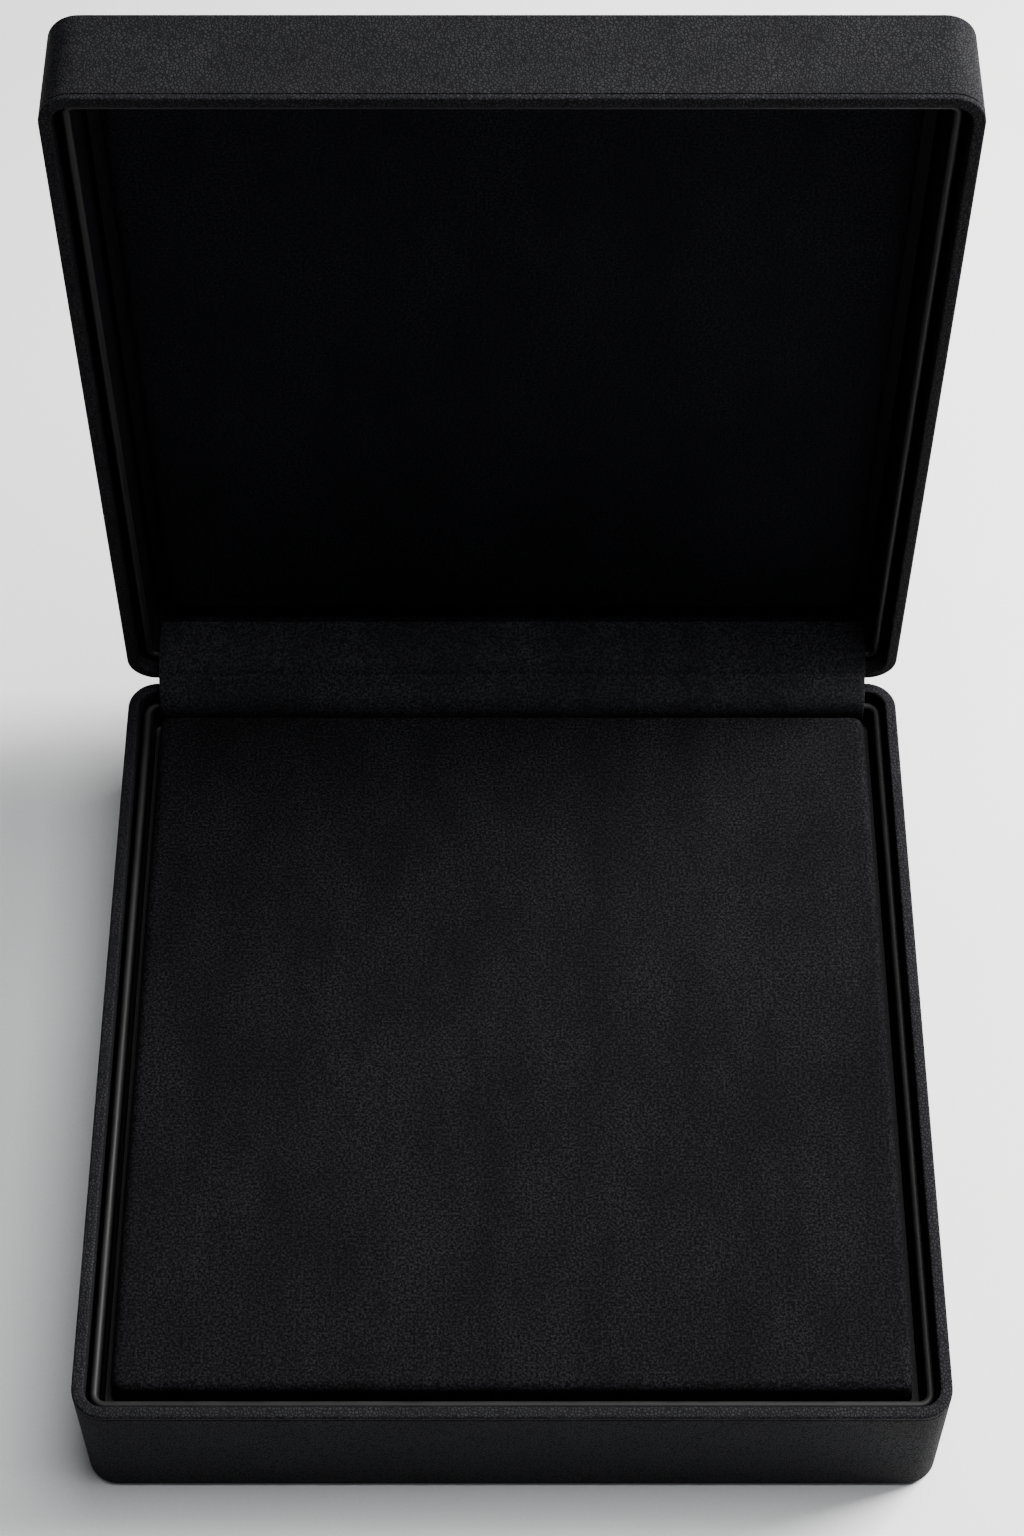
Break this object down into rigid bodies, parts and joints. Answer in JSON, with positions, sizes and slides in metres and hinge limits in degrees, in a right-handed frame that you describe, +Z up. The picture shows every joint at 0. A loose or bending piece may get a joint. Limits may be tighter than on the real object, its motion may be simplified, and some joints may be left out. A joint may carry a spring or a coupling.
{
  "type": "jewelry gift box",
  "caption": "Hinged gift box for a necklace and earring set: leather-covered trays, suede pad, padded lid panel, suede hinge flap.",
  "frame": {"origin": "centre of the underside of the base, on the table", "axes": "+Z up, front edge faces -Y, hinge at +Y, +X to the right seen from the front; the lid stands open at rest"},
  "size_m": [0.2, 0.2318, 0.2458],
  "materials": {
    "leatherette": "fine pebbled black leatherette, satin",
    "suede": "black suede, short nap",
    "lid_suede": "black suede, short nap",
    "flap_suede": "black suede, soft folded strip",
    "black_board": "black-dyed pressed board",
    "foam": "dark open-cell foam",
    "hinge_steel": "bright plated steel"
  },
  "bodies": {
    "base": {"base_bottom_sheet": "leatherette", "base_collar_board": "black_board", "base_collar_cover": "suede", "base_edge_band": "leatherette", "base_shell": "black_board", "base_wrap": "leatherette", "hinge_base_leaves": "hinge_steel", "hinge_base_rivets": "hinge_steel", "hinge_flap": "flap_suede", "hinge_pins": "hinge_steel", "pad_board": "black_board", "pad_cover": "suede", "pad_foam": "foam", "pad_riser_cross_rib": "black_board", "pad_riser_frame": "black_board", "pad_riser_long_rib": "black_board"},
    "lid": {"hinge_lid_leaves": "hinge_steel", "hinge_lid_rivets": "hinge_steel", "lid_collar_board": "black_board", "lid_collar_cover": "lid_suede", "lid_edge_band": "leatherette", "lid_panel_board": "black_board", "lid_panel_cover": "lid_suede", "lid_panel_foam": "foam", "lid_shell": "black_board", "lid_wrap": "leatherette"}
  },
  "joints": [
    {"name": "lid_hinge", "type": "hinge", "parent": "base", "child": "lid", "pos_m": [0, 0.1031, 0.0402], "axis": [1, 0, 0], "range_deg": [0, 90], "deforming": ["hinge_flap"]}
  ]
}
